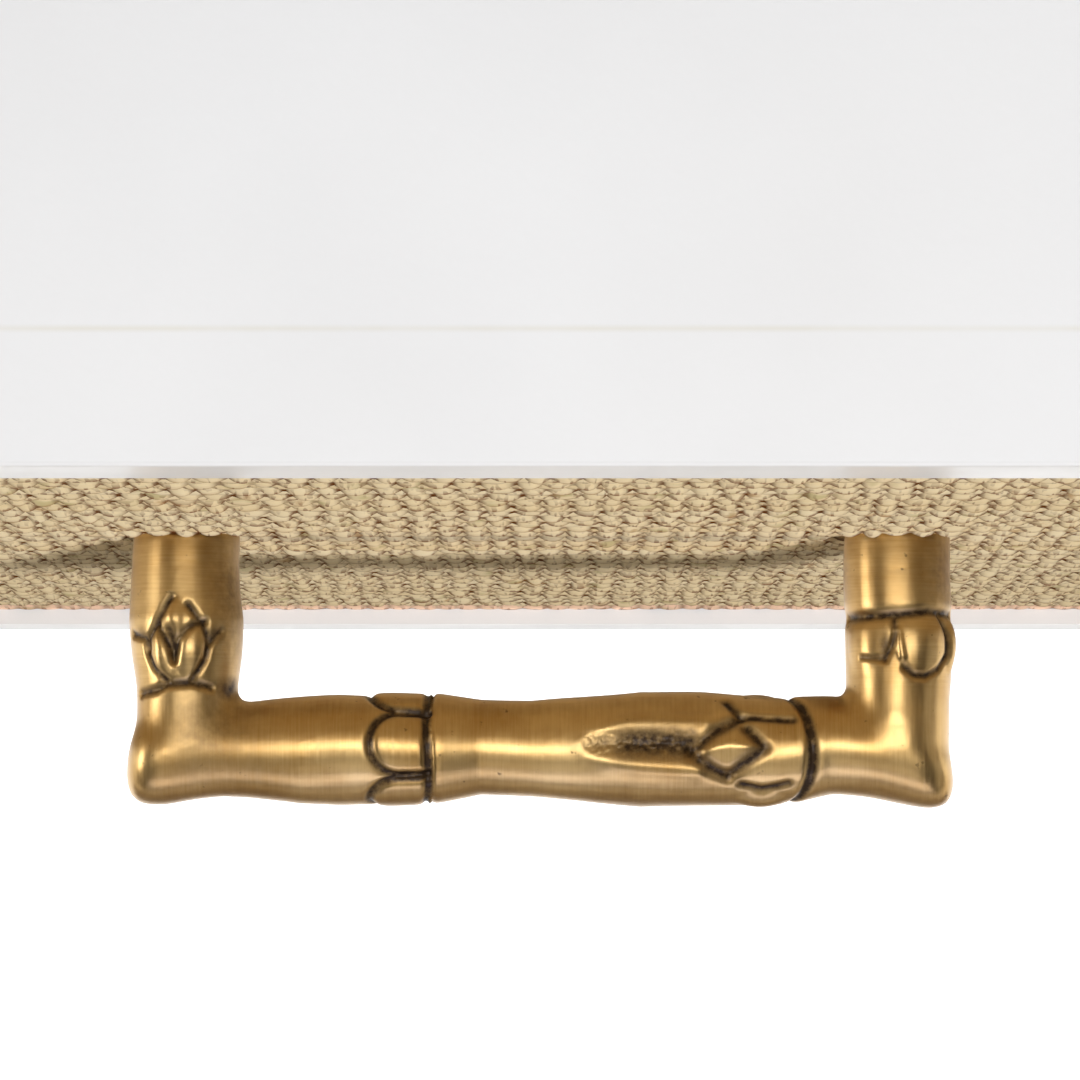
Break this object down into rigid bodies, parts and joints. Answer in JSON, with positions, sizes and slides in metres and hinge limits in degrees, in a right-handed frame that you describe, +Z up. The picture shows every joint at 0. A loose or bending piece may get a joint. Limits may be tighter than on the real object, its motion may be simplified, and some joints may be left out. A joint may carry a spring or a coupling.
{
  "type": "campaign chest",
  "caption": "Small white campaign chest on turned feet with woven end panels, long drawers with woven fronts, cast brass bamboo handles and brass corners.",
  "frame": {"origin": "on the floor under the middle of the whole object, handles included", "axes": "+X to the right seen from the front, along the drawers; +Y from the drawer fronts to the back; +Z up"},
  "size_m": [0.7502, 0.4746, 0.62],
  "materials": {
    "white_lacquer": "satin",
    "plain_wood": "matte",
    "woven_palm": "matte",
    "antique_brass": "satin",
    "steel": "satin"
  },
  "bodies": {
    "case": {"back_panel": "white_lacquer", "back_screws": "steel", "bottom_corner_brasses": "antique_brass", "bottom_panel": "white_lacquer", "drawer_stops": "plain_wood", "foot_blocks": "plain_wood", "foot_bolts": "steel", "front_bottom_rail": "white_lacquer", "front_left_foot": "white_lacquer", "front_right_foot": "white_lacquer", "front_top_rail": "white_lacquer", "handle_screws": "steel", "left_end_bottom_rail": "white_lacquer", "left_end_core": "plain_wood", "left_end_front_stile": "white_lacquer", "left_end_rear_stile": "white_lacquer", "left_end_top_rail": "white_lacquer", "left_end_weave": "woven_palm", "left_handle": "antique_brass", "lower_divider": "white_lacquer", "middle_drawer_runners": "plain_wood", "rear_bottom_rail": "white_lacquer", "rear_left_foot": "white_lacquer", "rear_right_foot": "white_lacquer", "right_end_bottom_rail": "white_lacquer", "right_end_core": "plain_wood", "right_end_front_stile": "white_lacquer", "right_end_rear_stile": "white_lacquer", "right_end_top_rail": "white_lacquer", "right_end_weave": "woven_palm", "right_handle": "antique_brass", "top_corner_brasses": "antique_brass", "top_drawer_runners": "plain_wood", "top_kickers": "plain_wood", "top_panel": "white_lacquer", "upper_divider": "white_lacquer"},
    "bottom_drawer": {"bottom_drawer_back": "plain_wood", "bottom_drawer_bottom": "plain_wood", "bottom_drawer_front": "white_lacquer", "bottom_drawer_left_side": "plain_wood", "bottom_drawer_pull": "antique_brass", "bottom_drawer_pull_screws": "steel", "bottom_drawer_right_side": "plain_wood", "bottom_drawer_weave": "woven_palm"},
    "middle_drawer": {"middle_drawer_back": "plain_wood", "middle_drawer_bottom": "plain_wood", "middle_drawer_front": "white_lacquer", "middle_drawer_left_side": "plain_wood", "middle_drawer_pull": "antique_brass", "middle_drawer_pull_screws": "steel", "middle_drawer_right_side": "plain_wood", "middle_drawer_weave": "woven_palm"},
    "top_drawer": {"top_drawer_back": "plain_wood", "top_drawer_bottom": "plain_wood", "top_drawer_front": "white_lacquer", "top_drawer_left_side": "plain_wood", "top_drawer_pull": "antique_brass", "top_drawer_pull_screws": "steel", "top_drawer_right_side": "plain_wood", "top_drawer_weave": "woven_palm"}
  },
  "joints": [
    {"name": "bottom_drawer_slide", "type": "slide", "parent": "case", "child": "bottom_drawer", "axis": [0, -1, 0], "range_m": [0, 0.2725]},
    {"name": "middle_drawer_slide", "type": "slide", "parent": "case", "child": "middle_drawer", "axis": [0, -1, 0], "range_m": [0, 0.2725]},
    {"name": "top_drawer_slide", "type": "slide", "parent": "case", "child": "top_drawer", "axis": [0, -1, 0], "range_m": [0, 0.2725]}
  ]
}
